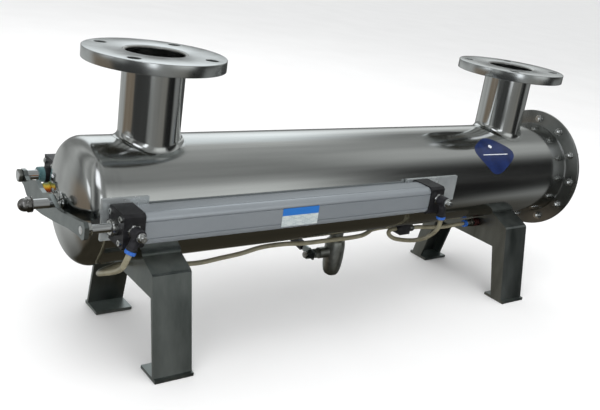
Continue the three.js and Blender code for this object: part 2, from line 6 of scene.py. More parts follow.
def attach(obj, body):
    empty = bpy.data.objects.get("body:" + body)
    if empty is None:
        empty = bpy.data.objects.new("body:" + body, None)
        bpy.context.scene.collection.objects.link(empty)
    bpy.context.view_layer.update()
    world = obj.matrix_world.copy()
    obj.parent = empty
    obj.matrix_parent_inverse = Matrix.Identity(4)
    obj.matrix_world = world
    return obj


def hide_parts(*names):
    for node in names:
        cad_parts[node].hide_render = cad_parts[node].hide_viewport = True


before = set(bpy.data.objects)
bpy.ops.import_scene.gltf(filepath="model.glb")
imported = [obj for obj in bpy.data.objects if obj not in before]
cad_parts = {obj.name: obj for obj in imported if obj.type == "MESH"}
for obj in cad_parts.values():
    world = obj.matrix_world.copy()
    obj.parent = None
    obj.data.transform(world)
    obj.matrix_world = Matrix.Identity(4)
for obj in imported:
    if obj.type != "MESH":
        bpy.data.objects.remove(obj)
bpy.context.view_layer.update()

D = Vector((-371.15, 17.0, 236.4))          # from the design frame (inlet nozzle axis) to the row frame, mm


def T(x, y, z):
    return (Vector((x, y, z)) + D) / 1000.0


# ------------------------------------------------------------ materials
def nt_new(name):
    m = bpy.data.materials.new(name)
    m.use_nodes = True
    nt = m.node_tree
    return m, nt, nt.nodes["Principled BSDF"]


def mapped(nt, scale=(1, 1, 1), rot=(0, 0, 0)):
    tc = nt.nodes.new("ShaderNodeTexCoord")
    mp = nt.nodes.new("ShaderNodeMapping")
    mp.inputs["Scale"].default_value = scale
    mp.inputs["Rotation"].default_value = rot
    nt.links.new(tc.outputs["Object"], mp.inputs["Vector"])
    return mp.outputs["Vector"]


def noise(nt, vec, scale, detail=4, rough=0.55):
    n = nt.nodes.new("ShaderNodeTexNoise")
    n.inputs["Scale"].default_value = scale
    n.inputs["Detail"].default_value = detail
    n.inputs["Roughness"].default_value = rough
    nt.links.new(vec, n.inputs["Vector"])
    return n.outputs["Fac"]


def ramp(nt, fac, stops):
    r = nt.nodes.new("ShaderNodeValToRGB")
    e = r.color_ramp.elements
    e[0].position, e[0].color = stops[0][0], (*stops[0][1], 1)
    e[1].position, e[1].color = stops[-1][0], (*stops[-1][1], 1)
    for p, c in stops[1:-1]:
        k = e.new(p)
        k.color = (*c, 1)
    nt.links.new(fac, r.inputs["Fac"])
    return r.outputs["Color"]


def remap(nt, fac, lo, hi):
    r = nt.nodes.new("ShaderNodeMapRange")
    r.inputs["From Min"].default_value = 0.3
    r.inputs["From Max"].default_value = 0.7
    r.inputs["To Min"].default_value = lo
    r.inputs["To Max"].default_value = hi
    nt.links.new(fac, r.inputs["Value"])
    return r.outputs["Result"]


def bump(nt, bsdf, h, strength, dist):
    b = nt.nodes.new("ShaderNodeBump")
    b.inputs["Strength"].default_value = strength
    b.inputs["Distance"].default_value = dist
    nt.links.new(h, b.inputs["Height"])
    nt.links.new(b.outputs["Normal"], bsdf.inputs["Normal"])


def metal(name, dark, light, r0, r1, stretch=(1, 1, 1), scale=40, bstr=0.0, bdist=0.0005, bscale=None):
    m, nt, b = nt_new(name)
    b.inputs["Metallic"].default_value = 1.0
    v = mapped(nt, stretch)
    f = noise(nt, v, scale)
    nt.links.new(ramp(nt, f, [(0.3, dark), (0.7, light)]), b.inputs["Base Color"])
    nt.links.new(remap(nt, f, r0, r1), b.inputs["Roughness"])
    if bstr:
        bump(nt, b, noise(nt, v, bscale or scale, 2), bstr, bdist)
    return m


def dull(name, dark, light, rough=(0.4, 0.6), scale=60, bstr=0.1, bdist=0.0002, coat=0.0, trans=0.0, ior=1.45, bscale=900):
    m, nt, b = nt_new(name)
    v = mapped(nt)
    f = noise(nt, v, scale)
    nt.links.new(ramp(nt, f, [(0.3, dark), (0.7, light)]), b.inputs["Base Color"])
    nt.links.new(remap(nt, f, *rough), b.inputs["Roughness"])
    b.inputs["IOR"].default_value = ior
    if coat:
        b.inputs["Coat Weight"].default_value = coat
        b.inputs["Coat Roughness"].default_value = 0.15
    if trans:
        b.inputs["Transmission Weight"].default_value = trans
    if bstr:
        bump(nt, b, noise(nt, v, bscale, 2), bstr, bdist)
    return m


M = {}
M["polish_x"] = metal("polished_stainless_tube", (0.60, 0.61, 0.60), (0.70, 0.71, 0.70), 0.10, 0.17, (0.6, 9, 9), 5, 0.10, 0.0006, 7)
M["polish_head"] = metal("polished_stainless_head", (0.60, 0.61, 0.60), (0.72, 0.73, 0.72), 0.10, 0.18, (9, 2.2, 2.2), 5, 0.16, 0.0012, 6)
M["polish_z"] = metal("polished_stainless_pipe", (0.58, 0.59, 0.58), (0.72, 0.73, 0.72), 0.09, 0.16, (9, 9, 0.6), 7, 0.25, 0.0010, 9)
M["polish_flat"] = metal("polished_stainless_plate", (0.58, 0.60, 0.60), (0.74, 0.76, 0.76), 0.16, 0.26, (1, 1, 1), 22, 0.06, 0.0003, 60)
M["turned"] = metal("turned_stainless_rim", (0.20, 0.225, 0.225), (0.36, 0.39, 0.385), 0.18, 0.28, (1, 1, 1), 24, 0.03, 0.0003, 60)
M["plate"] = metal("bracket_plate", (0.50, 0.54, 0.55), (0.66, 0.70, 0.71), 0.2, 0.3, (1, 1, 1), 40, 0.05, 0.0003, 90)
next(n for n in M["plate"].node_tree.nodes if n.type == "BSDF_PRINCIPLED").inputs["Metallic"].default_value = 0.65
M["endface"] = metal("end_flange_face", (0.26, 0.265, 0.26), (0.46, 0.47, 0.46), 0.22, 0.36, (1, 1, 1), 16, 0.08, 0.0003, 60)
M["weld"] = metal("weld_bead", (0.36, 0.355, 0.34), (0.56, 0.56, 0.54), 0.28, 0.42, (1, 1, 1), 120, 0.3, 0.0006, 260)
M["frame"] = metal("frame_stainless", (0.17, 0.19, 0.185), (0.34, 0.365, 0.355), 0.28, 0.42, (1, 1, 0.25), 26, 0.10, 0.0003, 300)
M["bright"] = metal("bright_fastener", (0.66, 0.67, 0.66), (0.82, 0.83, 0.82), 0.14, 0.28, (1, 1, 1), 160, 0.08, 0.0002, 500)
M["greynut"] = metal("grey_dome_nut", (0.24, 0.235, 0.22), (0.42, 0.41, 0.40), 0.22, 0.38, (1, 1, 1), 120, 0.1, 0.0002, 400)
M["chrome"] = metal("hard_chrome_rod", (0.80, 0.82, 0.83), (0.88, 0.89, 0.90), 0.06, 0.12, (0.4, 6, 6), 40, 0.03, 0.0002, 60)
M["alu"] = metal("satin_aluminium_barrel", (0.315, 0.345, 0.37), (0.335, 0.365, 0.39), 0.23, 0.27, (0.3, 1, 1), 30)
next(n for n in M["alu"].node_tree.nodes if n.type == "BSDF_PRINCIPLED").inputs["Metallic"].default_value = 0.5
M["redfit"] = dull("dark_red_bulkhead", (0.012, 0.005, 0.005), (0.05, 0.010, 0.009), (0.3, 0.45), 160, 0.1, 0.0001)
M["dark"] = metal("dark_metal", (0.26, 0.27, 0.25), (0.48, 0.49, 0.46), 0.34, 0.5, (1, 1, 1), 90, 0.25, 0.0003, 350)
M["brass"] = metal("nickelled_brass", (0.30, 0.29, 0.25), (0.50, 0.48, 0.42), 0.2, 0.34, (1, 1, 1), 160, 0.08, 0.0002, 500)
M["blackpaint"] = dull("black_painted_casting", (0.006, 0.006, 0.007), (0.018, 0.018, 0.02), (0.3, 0.5), 80, 0.2, 0.0002)
M["blackplastic"] = dull("black_moulded_plastic", (0.007, 0.007, 0.009), (0.022, 0.022, 0.026), (0.38, 0.6), 120, 0.15, 0.0001)
M["blue"] = dull("blue_collet", (0.010, 0.075, 0.33), (0.03, 0.13, 0.48), (0.3, 0.45), 200, 0.05, 0.0001)
M["rubber"] = dull("black_rubber", (0.012, 0.012, 0.013), (0.03, 0.03, 0.03), (0.7, 0.9), 200, 0.2, 0.0002)
M["ptfe"] = dull("white_ptfe", (0.74, 0.73, 0.69), (0.84, 0.83, 0.80), (0.45, 0.6), 90, 0.1, 0.0001)
M["hose"] = dull("olive_polyurethane_hose", (0.17, 0.155, 0.10), (0.27, 0.25, 0.175), (0.26, 0.4), 60, 0.05, 0.0001, coat=0.25)
M["glass"] = dull("quartz_glass", (0.9, 0.95, 0.96), (0.95, 0.98, 0.98), (0.02, 0.06), 20, 0.0, trans=1.0, ior=1.46)
M["lamp"] = dull("lamp_glass", (0.80, 0.82, 0.82), (0.9, 0.91, 0.91), (0.25, 0.4), 60, 0.0, trans=0.4)
M["teal"] = dull("teal_bush", (0.05, 0.12, 0.13), (0.12, 0.22, 0.23), (0.25, 0.4), 90, 0.05, 0.0001)


def lead_mat():
    m, nt, b = nt_new("coloured_gland")
    tc = nt.nodes.new("ShaderNodeTexCoord")
    sep = nt.nodes.new("ShaderNodeSeparateXYZ")
    nt.links.new(tc.outputs["Object"], sep.inputs["Vector"])
    mr = nt.nodes.new("ShaderNodeMapRange")
    z0 = T(0, 0, 5)[2]
    mr.inputs["From Min"].default_value = z0 - 0.008
    mr.inputs["From Max"].default_value = z0 + 0.008
    nt.links.new(sep.outputs["Z"], mr.inputs["Value"])
    nt.links.new(ramp(nt, mr.outputs["Result"], [(0.1, (0.62, 0.03, 0.03)), (0.45, (0.72, 0.16, 0.02)), (0.72, (0.60, 0.40, 0.03)), (0.92, (0.10, 0.13, 0.03))]), b.inputs["Base Color"])
    b.inputs["Roughness"].default_value = 0.35
    bump(nt, b, noise(nt, mapped(nt), 600, 2), 0.1, 0.0001)
    return m


M["lead"] = lead_mat()


def banded(name, axis, z_edge, top, bottom, line):
    """A two-tone printed panel with soft printed marks; edge position along an object axis."""
    m, nt, b = nt_new(name)
    tc = nt.nodes.new("ShaderNodeTexCoord")
    sep = nt.nodes.new("ShaderNodeSeparateXYZ")
    nt.links.new(tc.outputs["Object"], sep.inputs["Vector"])
    gt = nt.nodes.new("ShaderNodeMath"); gt.operation = "GREATER_THAN"
    gt.inputs[1].default_value = z_edge
    nt.links.new(sep.outputs[axis], gt.inputs[0])
    # rows of soft printed dashes
    br = nt.nodes.new("ShaderNodeTexBrick")
    br.inputs["Scale"].default_value = 120
    br.inputs["Mortar Size"].default_value = 0.03
    br.inputs["Color1"].default_value = (*line, 1)
    br.inputs["Color2"].default_value = (*bottom, 1)
    br.inputs["Mortar"].default_value = (*bottom, 1)
    nt.links.new(mapped(nt, (0.5, 1, 1), (math.radians(90), 0, 0)), br.inputs["Vector"])
    mix = nt.nodes.new("ShaderNodeMix"); mix.data_type = "RGBA"
    nt.links.new(gt.outputs[0], mix.inputs["Factor"])
    nt.links.new(br.outputs["Color"], mix.inputs["A"])
    mix.inputs["B"].default_value = (*top, 1)
    nt.links.new(mix.outputs["Result"], b.inputs["Base Color"])
    b.inputs["Roughness"].default_value = 0.35
    return m


M["label"] = banded("barrel_label", "Z", T(0, 0, 7.4)[2], (0.01, 0.13, 0.44), (0.48, 0.52, 0.51), (0.30, 0.36, 0.38))


def badge_mat():
    m, nt, b = nt_new("vessel_badge")
    tc = nt.nodes.new("ShaderNodeTexCoord")
    nt.links.new(ramp(nt, noise(nt, mapped(nt), 45, 2), [(0.3, (0.004, 0.012, 0.062)), (0.7, (0.009, 0.024, 0.11))]), b.inputs["Base Color"])
    b.inputs["Roughness"].default_value = 0.3
    b.inputs["Coat Weight"].default_value = 0.4
    return m


M["badge"] = badge_mat()
M["badge_mark"] = dull("badge_mark", (0.55, 0.58, 0.62), (0.7, 0.72, 0.75), (0.3, 0.4), 100, 0.0)

# ------------------------------------------------------------ geometry
AX = {"x": Matrix(((0, 0, 1), (1, 0, 0), (0, 1, 0))), "y": Matrix(((0, 1, 0), (0, 0, 1), (1, 0, 0))), "z": Matrix.Identity(3)}


def basis_for(direction):
    return Vector((0, 0, 1)).rotation_difference(Vector(direction).normalized()).to_matrix()


def spin(axis, prof, c=(0, 0, 0), seg=96, phase=0.0):
    """(vertices, faces) of a closed profile [(r, h)] spun about an axis, in mm."""
    R = AX[axis] if isinstance(axis, str) else basis_for(axis)
    pts = list(prof)
    closed = not (pts[0][0] < 1e-6 and pts[-1][0] < 1e-6)
    n = len(pts)
    vs, idx = [], []
    for r, h in pts:
        if r < 1e-6:
            idx.append([len(vs)] * seg)
            vs.append(Vector(c) + R @ Vector((0, 0, h)))
        else:
            row = []
            for s in range(seg):
                a = 2 * math.pi * s / seg + phase
                row.append(len(vs))
                vs.append(Vector(c) + R @ Vector((r * math.cos(a), r * math.sin(a), h)))
            idx.append(row)
    fs = []
    for k in range(n if closed else n - 1):
        p, q = idx[k], idx[(k + 1) % n]
        for s in range(seg):
            t = (s + 1) % seg
            f = []
            for v in (p[s], p[t], q[t], q[s]):
                if v not in f:
                    f.append(v)
            if len(f) > 2:
                fs.append(tuple(f))
    return vs, fs


def arc(r0, h0, r1, h1, n=4, bulge=1):
    """Quarter round from (r0, h0) to (r1, h1)."""
    out = []
    for i in range(n + 1):
        t = math.pi / 2 * i / n
        if bulge > 0:
            out.append((r0 + (r1 - r0) * math.sin(t), h0 + (h1 - h0) * (1 - math.cos(t))))
        else:
            out.append((r0 + (r1 - r0) * (1 - math.cos(t)), h0 + (h1 - h0) * math.sin(t)))
    return out


def disc(axis, r, h0, h1, c=(0, 0, 0), ch=0.6, seg=96, r_in=0.0):
    """Turned disc or ring with small rounded edges."""
    if r_in <= 0:
        prof = [(0, h0)] + arc(r - ch, h0, r, h0 + ch, 3) + arc(r, h1 - ch, r - ch, h1, 3, -1) + [(0, h1)]
    else:
        prof = [(r_in, h0)] + arc(r - ch, h0, r, h0 + ch, 3) + arc(r, h1 - ch, r - ch, h1, 3, -1) + [(r_in, h1)]
    return spin(axis, prof, c, seg)


def hexa(axis, r, h0, h1, c=(0, 0, 0), ch=0.8, phase=0.0):
    """Hexagon nut body whose corners are rounded off at both ends."""
    R = AX[axis] if isinstance(axis, str) else basis_for(axis)
    flat = r * math.cos(math.pi / 6)
    seg = 48
    vs, fs, rows = [], [], []
    for h, lim in ((h0, flat * 0.97), (h0 + ch, r), (h1 - ch, r), (h1, flat * 0.97)):
        row = []
        for s in range(seg):
            a = 2 * math.pi * s / seg
            k = ((a + math.pi / 6) % (math.pi / 3)) - math.pi / 6
            rr = min(flat / math.cos(math.pi / 6 - abs(k)) if False else flat / math.cos(k), lim)
            row.append(len(vs))
            vs.append(Vector(c) + R @ Vector((rr * math.cos(a + phase), rr * math.sin(a + phase), h)))
        rows.append(row)
    for p, q in zip(rows, rows[1:]):
        for s in range(seg):
            t = (s + 1) % seg
            fs.append((p[s], p[t], q[t], q[s]))
    fs.append(tuple(reversed(rows[0])))
    fs.append(tuple(rows[-1]))
    return vs, fs


def obj_from(name, parts, mat, body="vessel", replaces=(), angle=32, bevel=0.0):
    me = bpy.data.meshes.new(name)
    vs, fs = [], []
    for pv, pf in parts:
        o = len(vs)
        vs += [(Vector(v) + D) / 1000.0 for v in pv]
        fs += [tuple(i + o for i in f) for f in pf]
    me.from_pydata([tuple(v) for v in vs], [], fs)
    me.validate()
    bm = bmesh.new(); bm.from_mesh(me)
    bmesh.ops.recalc_face_normals(bm, faces=bm.faces)
    bm.to_mesh(me); bm.free()
    finish_mesh(me, angle)
    me.materials.append(mat)
    ob = bpy.data.objects.new(name, me)
    bpy.context.scene.collection.objects.link(ob)
    if bevel:
        add_bevel(ob, bevel)
    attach(ob, body)
    if replaces:
        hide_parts(*replaces)
    return ob


def finish_mesh(me, angle=32):
    for p in me.polygons:
        p.use_smooth = True
    me.set_sharp_from_angle(angle=math.radians(angle))


def add_bevel(ob, width_mm, segs=2, angle=35):
    b = ob.modifiers.new("edge", "BEVEL")
    b.width = width_mm / 1000.0
    b.segments = segs
    b.limit_method = "ANGLE"
    b.angle_limit = math.radians(angle)
    b.harden_normals = False
    return b


def cut(ob, cutters, angle=32):
    """Boolean difference applied to the mesh."""
    tmp = []
    for pv, pf in cutters:
        me = bpy.data.meshes.new("cutter")
        me.from_pydata([tuple((Vector(v) + D) / 1000.0) for v in pv], [], pf)
        bm = bmesh.new(); bm.from_mesh(me); bmesh.ops.recalc_face_normals(bm, faces=bm.faces); bm.to_mesh(me); bm.free()
        c = bpy.data.objects.new("cutter", me)
        bpy.context.scene.collection.objects.link(c)
        md = ob.modifiers.new("cut", "BOOLEAN"); md.operation = "DIFFERENCE"; md.solver = "EXACT"; md.object = c
        tmp.append(c)
    dg = bpy.context.evaluated_depsgraph_get()
    new = bpy.data.meshes.new_from_object(ob.evaluated_get(dg))
    ob.modifiers.clear()
    ob.data = new
    for c in tmp:
        bpy.data.objects.remove(c)
    finish_mesh(new, angle)


def loft(rows, name, mat, body="vessel", replaces=(), closed_rows=True, angle=40):
    """rows of equal length rings, joined round both ways."""
    K = len(rows[0]); vs = [v for r in rows for v in r]; fs = []
    N = len(rows)
    for i in range(N):
        for k in range(K):
            a, b = i * K + k, i * K + (k + 1) % K
            c, d = ((i + 1) % N) * K + k, ((i + 1) % N) * K + (k + 1) % K
            fs.append((a, b, d, c))
    return obj_from(name, [(vs, fs)], mat, body, replaces, angle=angle)


# ------------------------------------------------------------ camera
R = Matrix(((0.807192626574889, -0.5727986336054529, 0.14262464353279847), (0.07714150260123387, 0.3419086682867514, 0.9365616109615021), (-0.585225812981242, -0.7449833473911388, 0.3201727032873636)))
cam_data = bpy.data.cameras.new("camera")
cam_data.sensor_width = 36.0
cam_data.lens = 777.21 / 600 * 36
cam_data.clip_start, cam_data.clip_end = 0.05, 60
cam = bpy.data.objects.new("camera", cam_data)
bpy.context.scene.collection.objects.link(cam)
cam.matrix_world = Matrix.Translation(T(-485.4735, -990.3192, 387.0213)) @ R.transposed().to_4x4()
bpy.context.scene.camera = cam

# ------------------------------------------------------------ air hoses
def leg_end(px, pz, d, ln):
    v = Vector(d).normalized()
    return tuple(Vector((px, -157, pz)) + v * ln)


DIR_F, DIR_R = (-0.36, 0, -0.93), (0.12, 0, -0.993)
HOSES = {
    "hose_front": [leg_end(-80, 9, DIR_F, 27.4), leg_end(-80, 9, DIR_F, 33), (-94, -152, -34), (-92, -141, -43), (-90, -124, -54), (-89.5, -104, -65), (-90, -85, -74.5), (-88, -66, -84), (-82, -48, -92.5), (-70, -28, -100), (-50, -10, -105), (-24.4, 0, -106), (10, 0, -110), (45, 0, -116), (82, -2, -120), (109, -2, -121), (144, -2, -118), (183, -2, -114.5), (222, -3, -107.5), (262, -10, -103.5), (300, -22, -101), (340, -32, -96.5), (386, -35, -95.5), (420, -29, -97), (448, -14, -100), (470, 0, -102.5), (500, 4.5, -103), (523.6, 4.5, -103)],
    "hose_rear": [leg_end(468, 11, DIR_R, 32.4), leg_end(468, 11, DIR_R, 38), (480, -149, -41), (490, -134, -56), (501, -116, -70), (511, -97, -84), (519, -77, -96), (525, -58, -106.5), (525, -42, -113), (521, -28, -117), (514, -18, -117.5), (508, -12, -114), (505.5, -9.3, -108.5), (508.5, -8.5, -104.1), (515, -8.5, -103), (523.6, -8.5, -103)],
    "hose_supply": [(572.4, -4, -107), (586, -4, -107.2), (612, -8, -108.5), (645, -20, -106), (676, -26.6, -101.4), (690.1, -27, -101)],
}


def centripetal(P, per=8):
    P = [Vector(p) for p in P]
    P = [2 * P[0] - P[1]] + P + [2 * P[-1] - P[-2]]
    out = []
    for i in range(1, len(P) - 2):
        p0, p1, p2, p3 = P[i - 1:i + 3]
        d0, d1, d2 = [max(1e-4, (b - a).length) ** 0.5 for a, b in ((p0, p1), (p1, p2), (p2, p3))]
        t1 = ((p1 - p0) / d0 - (p2 - p0) / (d0 + d1) + (p2 - p1) / d1) * d1
        t2 = ((p2 - p1) / d1 - (p3 - p1) / (d1 + d2) + (p3 - p2) / d2) * d1
        for k in range(per):
            t = k / per
            out.append((2 * t ** 3 - 3 * t ** 2 + 1) * p1 + (t ** 3 - 2 * t ** 2 + t) * t1 + (-2 * t ** 3 + 3 * t ** 2) * p2 + (t ** 3 - t ** 2) * t2)
    out.append(P[-2])
    return out


for name, route in HOSES.items():
    pts = [T(*p) for p in centripetal(route)]
    cu = bpy.data.curves.new("air_" + name, "CURVE")
    cu.dimensions = "3D"
    cu.bevel_depth = 0.004
    cu.bevel_resolution = 6
    cu.use_fill_caps = True
    sp = cu.splines.new("POLY")
    sp.points.add(len(pts) - 1)
    for q, p in zip(sp.points, pts):
        q.co = (*p, 1)
    sp.use_smooth = True
    ob = bpy.data.objects.new("air_" + name, cu)
    bpy.context.scene.collection.objects.link(ob)
    cu.materials.append(M["hose"])
    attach(ob, "vessel")
    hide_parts(name)

# ------------------------------------------------------------ vessel
VR = 92.0
shell = obj_from("shell_tube", [spin("x", [(89, -69.85), (92, -69.85), (92, 897.8), (89, 897.8)], seg=160)], M["polish_x"], replaces=["vessel_shell"])
cut(shell, [spin("z", [(0, 40), (41.5, 40), (41.5, 140), (0, 140)], (xc, 0, 0), 96) for xc in (0, 760)])


def head_outline(off):
    r, rk, h = VR - off, 26 - off, 38 - off
    a = r - rk
    rc = (h * h - rk * rk + a * a) / (2 * (h - rk))
    ang = math.asin(a / (rc - rk))
    p = []
    for i in range(15):
        t = (math.pi / 2 - ang) * i / 14
        p.append((a + rk * math.cos(t), -90 - rk * math.sin(t)))
    for i in range(1, 15):
        t = ang * (1 - i / 14)
        p.append((max(0.0, rc * math.sin(t)), -90 - h + rc - rc * math.cos(t)))
    p[-1] = (0.0, p[-1][1])
    return p


outer, inner = head_outline(0), head_outline(3)
head = obj_from("head_dish", [spin("x", list(reversed(inner)) + [(89, -70.15), (92, -70.15)] + outer, seg=160)], M["polish_head"], replaces=["dished_head"], angle=50)
cut(head, [spin("x", [(0, -200), (14.3, -200), (14.3, -80), (0, -80)], seg=48)], 50)
# ground weld line between head and shell
wl = [(91.6, -71.6), (92.02, -71.6), (92.05, -70.8), (92.05, -69.2), (92.02, -68.4), (91.6, -68.4)]
obj_from("seam_weld", [spin("x", wl, seg=160)], M["polish_head"], angle=80)


def nozzle(xc, name, node):
    N, F, top, rows = 128, 9.0, 210.1, []
    zs = lambda y: math.sqrt(92.1 ** 2 - y * y)
    for i in range(N):
        a = 2 * math.pi * i / N
        c, s = math.cos(a), math.sin(a)
        q = []
        at = lambda r, z: q.append(Vector((xc + r * c, r * s, z)))
        zf, z1 = zs((44.5 + F) * s), zs(44.5 * s) + F
        at(41.5, top); at(44.5, top)
        for k in range(1, 5):
            at(44.5, top + (z1 - top) * k / 5)
        at(44.5, z1)
        for k in range(1, 10):
            t = k / 10 * math.pi / 2
            at(44.5 + F * (1 - math.cos(t)), z1 + (zf - z1) * math.sin(t))
        at(44.5 + F, zf + 0.15); at(44.5, zs(44.5 * s)); at(41.5, zs(41.5 * s))
        rows.append(q)
    return loft(rows, name, M["polish_z"], replaces=[node])


nozzle(0, "inlet_pipe", "inlet_nozzle")
nozzle(760, "outlet_pipe", "outlet_nozzle")
for xc, nm in ((0, "inlet"), (760, "outlet")):
    zb, zt = 197.1, 213.6
    fl = obj_from(nm + "_flange_disc", [spin("z", [(44.8, zb)] + arc(99.7, zb, 100.5, zb + 0.8, 3) + arc(100.5, zt - 1.2, 99.3, zt, 4, -1) + arc(44.8 + 1.2, zt, 44.8, zt - 1.2, 3, 1), (xc, 0, 0), 160)], M["polish_flat"], replaces=[nm + "_flange"])
    holes = []
    for i in range(4):
        a = math.pi / 4 + i * math.pi / 2
        holes.append(spin("z", [(0, zb - 5), (9, zb - 5), (9, zt - 0.6), (10.2, zt + 0.6), (10.2, zt + 5), (0, zt + 5)], (xc + 81.5 * math.cos(a), 81.5 * math.sin(a), 0), 40))
    cut(fl, holes)
    # fillet welds: under the flange and inside the bore lip
    obj_from(nm + "_flange_weld", [spin("z", [(44.5, zb - 4.6)] + arc(44.6, zb - 4.6, 48.6, zb - 0.05, 5, -1) + [(44.5, zb - 0.05)], (xc, 0, 0), 128)], M["weld"], angle=60)
    obj_from(nm + "_face_weld", [spin("z", [(41.6, 210.3), (41.6, 211.2)] + arc(41.8, 211.2, 44.75, 213.0, 4, -1) + [(44.75, 210.3)], (xc, 0, 0), 128)], M["weld"], angle=60)

# bolted end
obj_from("end_flange_ring", [disc("x", 121.2, 892, 898, ch=0.8, seg=160, r_in=92.2)], M["endface"], replaces=["end_flange"])
obj_from("end_gasket_ring", [disc("x", 101, 898.2, 899.6, ch=0.3, seg=128, r_in=80)], M["rubber"], replaces=["end_gasket"])
cov = obj_from("end_cover_plate", [disc("x", 121.2, 899.8, 905.8, ch=0.9, seg=160)] + [disc("x", 17, 905.6, 915.8, (0, s * 38, 0), 0.8, 64) for s in (1, -1)], M["polish_flat"], replaces=["end_cover"])
cut(cov, [spin("x", [(0, 890), (12.3, 890), (12.3, 930), (0, 930)], (0, s * 38, 0), 48) for s in (1, -1)])
obj_from("end_flange_weld", [spin("x", [(92.05, 889.4)] + arc(92.2, 889.4, 94.6, 891.95, 5, -1) + [(92.05, 891.95)], seg=160)], M["endface"], angle=60)
for i in range(12):
    a = 2 * math.pi * i / 12
    c = (0, 106 * math.cos(a), 106 * math.sin(a))
    thread = [(0, 880.9), (3.4, 880.9)]
    x = 881.6
    while x < 885:
        thread += [(4.0, x), (3.55, x + 0.5)]
        x += 1.0
    thread += [(4.0, 885.2), (4.0, 907.8), (3.4, 908.4), (0, 908.4)]
    obj_from("end_stud_%02d" % (i + 1), [spin("x", thread, c, 24), hexa("x", 7.4, 885.0, 890.4, c, phase=a), disc("x", 7.9, 890.4, 891.8, c, 0.3, 40), hexa("x", 7.4, 906.2, 911.4, c, phase=a + 0.4)], M["bright"], replaces=["end_bolt_%02d" % (i + 1)])
for t, s in (("a", -1), ("b", 1)):
    c = (0, s * 38, 0)
    obj_from("gland_cap_" + t, [spin("x", [(17.4, 906.9), (20.4, 906.9)] + arc(20.4, 906.9, 21, 907.6, 2) + [(21, 920)] + arc(21, 920, 18, 924.6, 4, -1) + [(5.6, 924.6), (4.6, 923.8), (4.6, 920.5), (17.4, 920.5)], c, 64)], M["blackplastic"], replaces=["lamp_gland_" + t])
    ribs = []
    for k in range(24):
        b = 2 * math.pi * k / 24
        ribs.append(spin("x", [(0, 909), (0.9, 909), (0.9, 919), (0, 919)], (0, c[1] + 20.9 * math.cos(b), 20.9 * math.sin(b)), 8))
    obj_from("gland_ribs_" + t, ribs, M["blackplastic"])

# ------------------------------------------------------------ wiper drive
obj_from("gland_body", [spin("x", [(7.3, -133.2), (12, -133.2), (13.2, -132.2), (13.2, -128.9), (7.3, -128.9)], seg=64), hexa("x", 19, -128.9, -123.2, phase=0.3), disc("x", 14, -123.4, -106, ch=0.4, seg=64, r_in=7.3)], M["bright"], replaces=["wiper_gland"])
for k, (yy, zz) in enumerate(((16, 12), (-16, 12), (16, -12), (-16, -12))):
    r = math.hypot(yy, zz)
    obj_from("gland_screw_%d" % (k + 1), [hexa("x", 3.6, -131.2, -128.4, (0, yy, zz), 0.3, phase=0.2 * k)], M["bright"])
obj_from("wiper_shaft", [spin("x", [(0, -172.5)] + arc(6.2, -172.5, 7, -171.7, 2) + [(7, 857), (0, 857)], seg=64)], M["chrome"], "wiper_carriage", ["wiper_rod"])
dome = [(7.4, -170.0), (8.9, -170.2), (9.3, -172.5)] + [(9.3 * math.cos(t), -173.0 - 9.4 * math.sin(t)) for t in [math.pi / 2 * i / 10 for i in range(10)]] + [(0, -182.4)]
obj_from("dome_cap", [spin("x", [(0, -170.0)] + dome, seg=64), hexa("x", 10.9, -171.2, -165.0, (0, 0, 0), 1.0, 0.5), disc("x", 10.9, -165, -163.6, ch=0.3, seg=48, r_in=7.2)], M["greynut"], "wiper_carriage", ["dome_nut"])
obj_from("drive_rod", [spin("x", [(0, -141.2)] + arc(5.3, -141.2, 6, -140.5, 2) + [(6, 424), (15.2, 424), (15.7, 424.6), (15.7, 445.4), (15.2, 446), (0, 446)], (0, -120, 7), 64)], M["chrome"], "wiper_carriage", ["piston_rod"])
obj_from("drive_rod_nut", [hexa("x", 10, -134.7, -127.7, (0, -120, 7), 0.9, 0.2), disc("x", 10.4, -134.95, -134.3, (0, -120, 7), 0.2, 40)], M["bright"], "wiper_carriage", ["rod_nut"])
obj_from("back_rod", [spin("x", [(0, -147.5)] + arc(6.6, -147.5, 7.5, -146.6, 2) + [(7.5, 425), (0, 425)], (0, 118, 1), 64)], M["chrome"], "wiper_carriage", ["guide_rod"])
obj_from("back_rod_nut", [hexa("x", 10.6, -147, -141.3, (0, 118, 1), 0.9, 0.3)], M["dark"], "wiper_carriage", ["guide_nut"])
obj_from("guide_bush", [spin("x", [(7.9, -118.4), (10.9, -118.4), (11.6, -117.6), (11.6, -109.5), (11.0, -109.0), (11.0, -104), (7.9, -104)], (0, 118, 1), 64)], M["teal"])
grown = head_outline(-0.3)
lg = obj_from("lead_gland_cap", [spin("x", [(0, -134)] + arc(4.6, -134, 7, -131.6, 4, 1) + [(7, -125.5), (6.4, -125), (6.4, -124.4), (8.5, -124), (8.5, -112), (0, -112)], (0, 48, 5), 48)], M["lead"], replaces=["lead_gland"])
cut(lg, [spin("x", [(0, -60), (92.3, -60)] + grown, seg=96)], 40)

# ------------------------------------------------------------ air cylinder
def rounded_square(h, r, n=8, groove=0.0, gz=0.0, gw=1.6):
    pts = []
    for sy, sz, a0 in ((1, 1, 0), (-1, 1, 90), (-1, -1, 180), (1, -1, 270)):
        for i in range(n + 1):
            a = math.radians(a0 + 90 * i / n)
            pts.append((sy * (h - r) + r * math.cos(a), sz * (h - r) + r * math.sin(a)))
    return pts


h = 22.3
prof = rounded_square(h, 9.5, 10)
